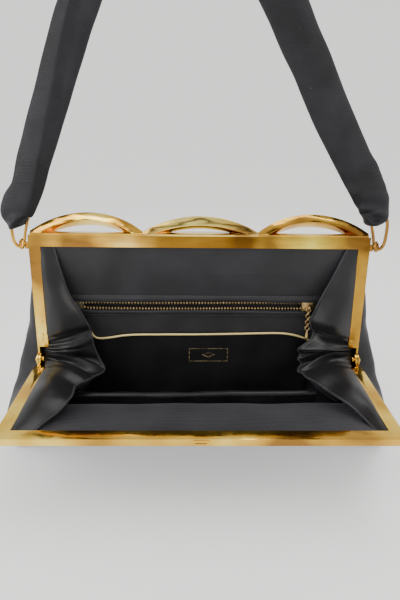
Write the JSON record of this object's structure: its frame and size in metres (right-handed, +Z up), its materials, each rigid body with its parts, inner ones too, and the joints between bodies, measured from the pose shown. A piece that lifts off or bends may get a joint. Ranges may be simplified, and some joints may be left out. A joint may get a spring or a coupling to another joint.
{
  "type": "frame handbag",
  "caption": "Small evening handbag with a hinged metal frame, arched clasp, strap handle, and a lined body with zip and slip pockets.",
  "frame": {"origin": "centre of the flat bottom", "axes": "+Z up, +X along the frame's width, -Y towards the front frame when it is open"},
  "size_m": [0.278, 0.1315, 0.3329],
  "materials": {
    "gold": "polished gold plate",
    "spring_steel": "plain",
    "zip_brass": "aged brass",
    "satin_outer": "black satin, faint rib",
    "satin_lining": "shiny black satin",
    "zip_tape": "woven tape",
    "gold_piping": "metallic cord",
    "gold_stamp": "worn gold stamp, no text",
    "board": "grey card",
    "padding": "cotton wadding"
  },
  "bodies": {
    "bag": {"arch_left": "gold", "arch_right": "gold", "back_board": "board", "back_cover": "satin_outer", "back_frame": "gold", "back_lining_lower": "satin_lining", "back_lining_upper": "satin_lining", "bottom_board": "board", "bottom_cover": "satin_outer", "bottom_lining": "satin_lining", "clasp_brackets": "spring_steel", "clasp_pin": "spring_steel", "clasp_spring": "spring_steel", "front_lower_cover": "satin_outer", "front_lower_lining": "satin_lining", "gusset_left_back": "satin_lining", "gusset_right_back": "satin_lining", "handle_eye_left": "gold", "handle_eye_right": "gold", "hinge_rivet_left": "gold", "hinge_rivet_right": "gold", "lip_rivets_back": "gold", "side_cover_left": "satin_outer", "side_cover_right": "satin_outer", "side_lining_left": "satin_lining", "side_lining_right": "satin_lining", "slip_pocket": "satin_lining", "slip_pocket_piping": "gold_piping", "stamped_label": "gold_stamp", "zip_pocket_bag": "satin_lining", "zip_tape_lower": "zip_tape", "zip_tape_upper": "zip_tape", "zip_teeth_lower": "zip_brass", "zip_teeth_upper": "zip_brass", "zip_welt_lower": "satin_lining", "zip_welt_upper": "satin_lining"},
    "front_frame": {"front_frame": "gold", "lip_rivets_front": "gold", "catch_eyelet": "gold", "front_cover": "satin_outer", "front_board": "board", "front_lining": "satin_lining", "gusset_left_front": "satin_lining", "gusset_right_front": "satin_lining", "front_pocket": "satin_lining", "front_pocket_roll": "satin_lining"},
    "clasp_lever": {"clasp_lever": "gold"},
    "handle": {"handle_ring_left": "gold", "handle_ring_right": "gold", "handle_strap": "satin_outer", "handle_core": "padding", "handle_loop_left": "satin_outer", "handle_loop_right": "satin_outer"},
    "zip_slider": {"zip_slider": "zip_brass"},
    "zip_pull": {"zip_pull_chain": "zip_brass", "zip_pull_tab": "zip_brass"}
  },
  "joints": [
    {"name": "frame_hinge", "type": "hinge", "parent": "bag", "child": "front_frame", "pos_m": [0, -0.016, 0.064], "axis": [-1, 0, 0], "range_deg": [0, 95]},
    {"name": "clasp_tilt", "type": "hinge", "parent": "bag", "child": "clasp_lever", "pos_m": [0, -0.0096, 0.147], "axis": [-1, 0, 0], "range_deg": [0, 25], "stiffness_Nm_per_rad": 0.06, "springref_deg": -17.19},
    {"name": "handle_swing", "type": "hinge", "parent": "bag", "child": "handle", "pos_m": [0, -0.01375, 0.144], "axis": [1, 0, 0], "range_deg": [-90, 90]},
    {"name": "zip_slide", "type": "slide", "parent": "bag", "child": "zip_slider", "axis": [1, 0, 0], "range_m": [-0.15, 0]},
    {"name": "zip_pull_swing", "type": "hinge", "parent": "zip_slider", "child": "zip_pull", "pos_m": [0.075, -0.0094, 0.09965], "axis": [-1, 0, 0], "range_deg": [0, 30]}
  ]
}
